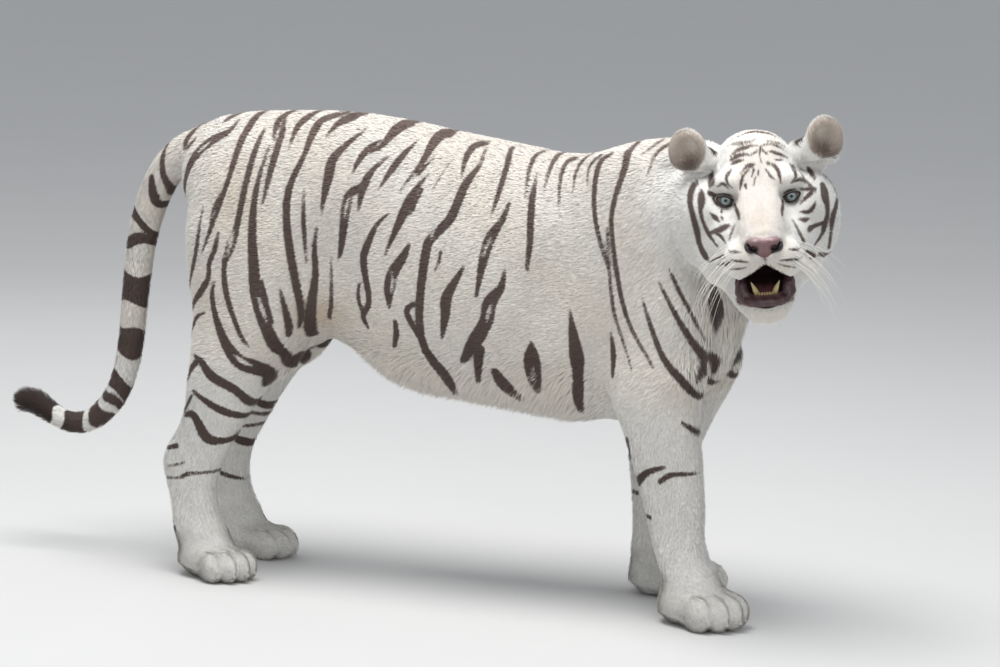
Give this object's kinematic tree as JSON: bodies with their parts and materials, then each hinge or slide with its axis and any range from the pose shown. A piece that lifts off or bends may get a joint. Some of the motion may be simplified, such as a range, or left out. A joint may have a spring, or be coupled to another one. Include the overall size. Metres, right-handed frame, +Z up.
{
  "type": "white tiger model",
  "caption": "White tiger standing still, its head turned to its right with the mouth a little open and the tail hanging with a curled tip; a life-size museum model.",
  "frame": {"origin": "centre of the bounding box, at the height of the paw soles", "axes": "+X from the rump towards the chest, +Y to the tiger's left, +Z up"},
  "size_m": [1.711, 0.5658, 0.9797],
  "materials": {
    "coat": "short dense fur, creamy white with dark brown stripes",
    "nose_leather": "bare mauve-pink nose leather, slightly moist",
    "mouth": "moist dark pink tongue and lining",
    "eye": "clear glossy eye over a pale blue-grey iris"
  },
  "bodies": {
    "root": {"barrel": "coat", "chest": "coat", "ear_left": "coat", "ear_right": "coat", "eye_left": "eye", "eye_right": "eye", "fore_paw_left": "coat", "fore_paw_right": "coat", "forearm_left": "coat", "forearm_right": "coat", "head": "coat", "hind_paw_left": "coat", "hind_paw_right": "coat", "lower_jaw": "coat", "metatarsus_left": "coat", "metatarsus_right": "coat", "neck": "coat", "nose": "nose_leather", "rump": "coat", "shank_left": "coat", "shank_right": "coat", "tail_1": "coat", "tail_2": "coat", "tail_3": "coat", "tail_4": "coat", "thigh_left": "coat", "thigh_right": "coat", "tongue": "mouth", "upper_arm_left": "coat", "upper_arm_right": "coat"}
  },
  "joints": []
}
